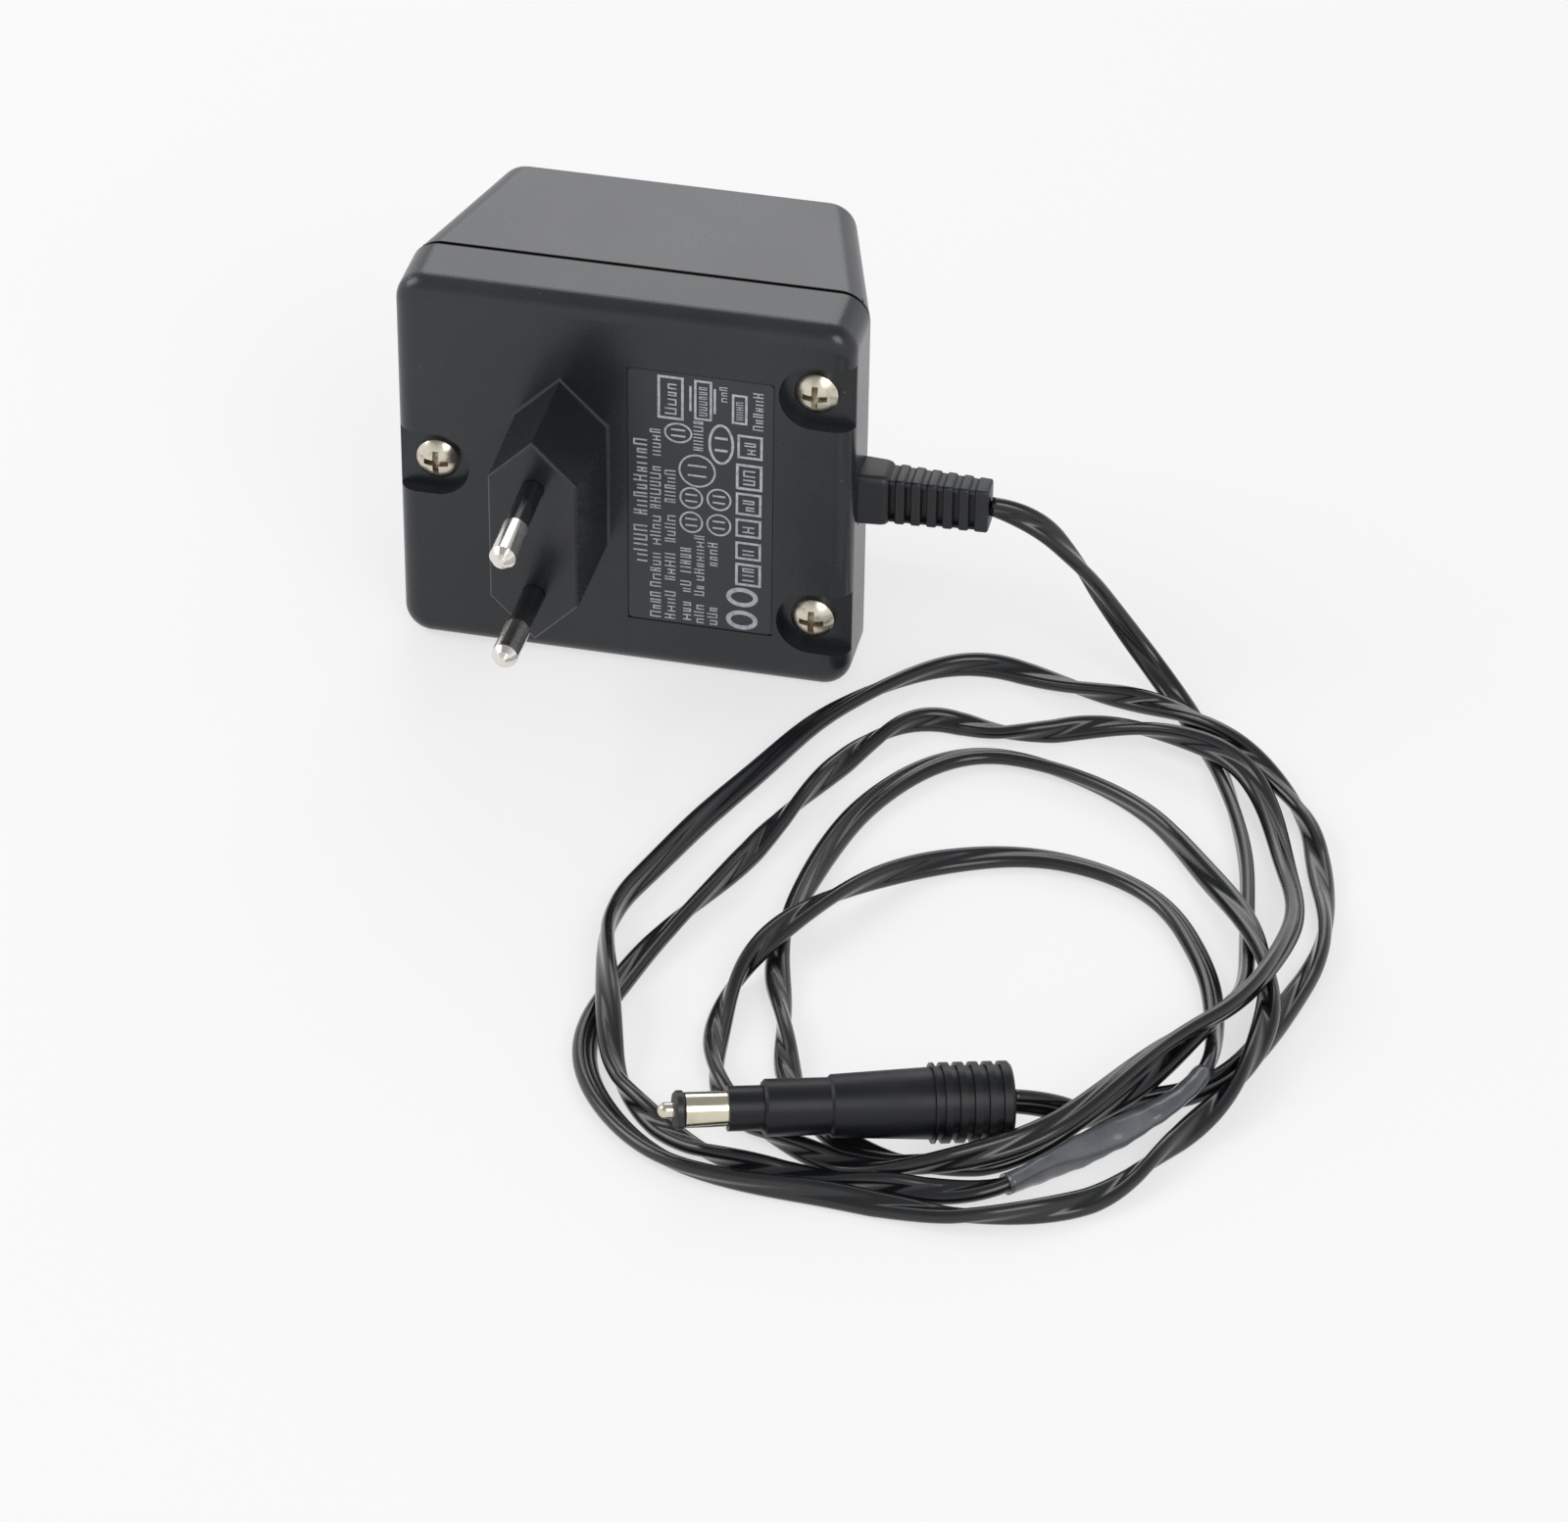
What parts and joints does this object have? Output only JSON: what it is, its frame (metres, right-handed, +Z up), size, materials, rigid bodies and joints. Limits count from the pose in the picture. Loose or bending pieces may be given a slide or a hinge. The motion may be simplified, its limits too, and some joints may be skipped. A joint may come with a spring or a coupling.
{
  "type": "plug-in power supply",
  "caption": "Box-shaped mains plug-in power supply with round sleeved pins, a slotted strain relief and a coiled thin cord that ends in a straight coaxial plug.",
  "frame": {"origin": "middle of the bottom of the housing and its mains pins, without the cord, on the surface that the housing's long side stands on", "axes": "+Z up, -Y along the mains pins, away from the housing, +X to the side where the cord leaves"},
  "size_m": [0.1524, 0.1598, 0.0646],
  "materials": {
    "housing": "fine spark-eroded texture, dark grey black, a few pale scuffs",
    "pin_metal": "bright nickel plate",
    "pin_sleeve": "smooth black",
    "screw": "nickel plate with dull brownish patches",
    "label": "black film with grey print",
    "strain_relief": "soft black plastic, satin",
    "cord": "soft black insulation with a sheen",
    "splice": "bluish grey sleeve with a sheen",
    "plug_body": "soft black plastic, satin",
    "plug_metal": "nickel plate with a yellow tinge",
    "plug_insulator": "black",
    "core": "varnished iron sheets",
    "bobbin": "natural nylon",
    "winding": "enamelled copper wire",
    "tape": "yellow polyester tape",
    "fuse": "brown ceramic body",
    "lead": "coloured insulation"
  },
  "bodies": {
    "root": {"front_cover": "housing", "rear_housing": "housing", "rating_label": "label", "strain_relief": "strain_relief", "mains_pin_upper": "pin_metal", "mains_pin_lower": "pin_metal", "pin_sleeve_upper": "pin_sleeve", "pin_sleeve_lower": "pin_sleeve", "cover_screw_left": "screw", "cover_screw_upper": "screw", "cover_screw_lower": "screw", "core_e_stack": "core", "core_i_stack": "core", "bobbin": "bobbin", "primary_winding": "winding", "secondary_winding": "winding", "winding_tape_primary": "tape", "winding_tape_secondary": "tape", "thermal_fuse": "fuse", "primary_lead_upper": "lead", "primary_lead_fuse": "lead", "primary_lead_lower": "lead", "secondary_lead_upper": "lead", "secondary_lead_lower": "lead", "output_cord_long": "cord", "output_cord_short": "cord", "repair_sleeve": "splice", "plug_body": "plug_body", "plug_barrel": "plug_metal", "plug_contact": "plug_metal", "plug_tip_ring": "plug_insulator"}
  },
  "joints": []
}
